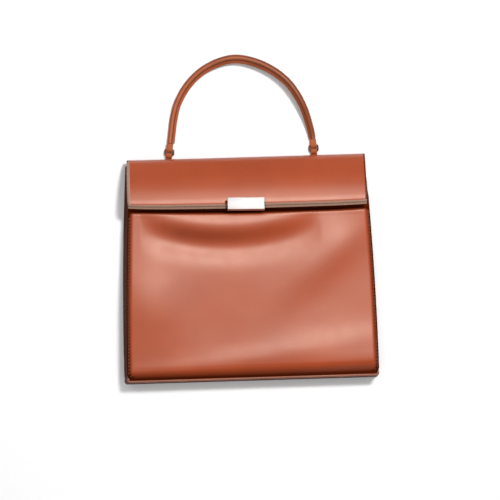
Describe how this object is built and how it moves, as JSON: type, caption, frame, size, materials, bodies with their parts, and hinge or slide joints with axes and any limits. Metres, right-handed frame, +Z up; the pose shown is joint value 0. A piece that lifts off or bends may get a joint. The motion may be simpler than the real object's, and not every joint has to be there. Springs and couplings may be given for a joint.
{
  "type": "leather handbag",
  "caption": "Slack leather handbag lying on its back, with a fold-over flap, a bare metal clasp plate, a piped base and an arched rolled top handle.",
  "frame": {"origin": "middle of the bag's outline, handle included, on the surface that its back lies on", "axes": "+X to the bag's right seen from the front, +Y from its base to its handle, +Z up out of its front"},
  "size_m": [0.2566, 0.3285, 0.0469],
  "materials": {
    "body_leather": "smooth calf, semi-gloss, chestnut",
    "piping_leather": "smooth calf over cord, polished along the top",
    "handle_leather": "rolled calf with painted edges",
    "ring_metal": "antiqued",
    "clasp_metal": "polished"
  },
  "bodies": {
    "root": {"back_panel": "body_leather", "front_panel": "body_leather", "gusset_left": "body_leather", "gusset_right": "body_leather", "base_panel": "body_leather", "flap": "body_leather", "front_piping": "piping_leather", "back_piping": "piping_leather", "handle": "handle_leather", "handle_end_left": "handle_leather", "handle_end_right": "handle_leather", "handle_tab_left": "handle_leather", "handle_tab_right": "handle_leather", "handle_ring_left": "ring_metal", "handle_ring_right": "ring_metal", "clasp_plate": "clasp_metal", "clasp_catch": "clasp_metal"}
  },
  "joints": []
}
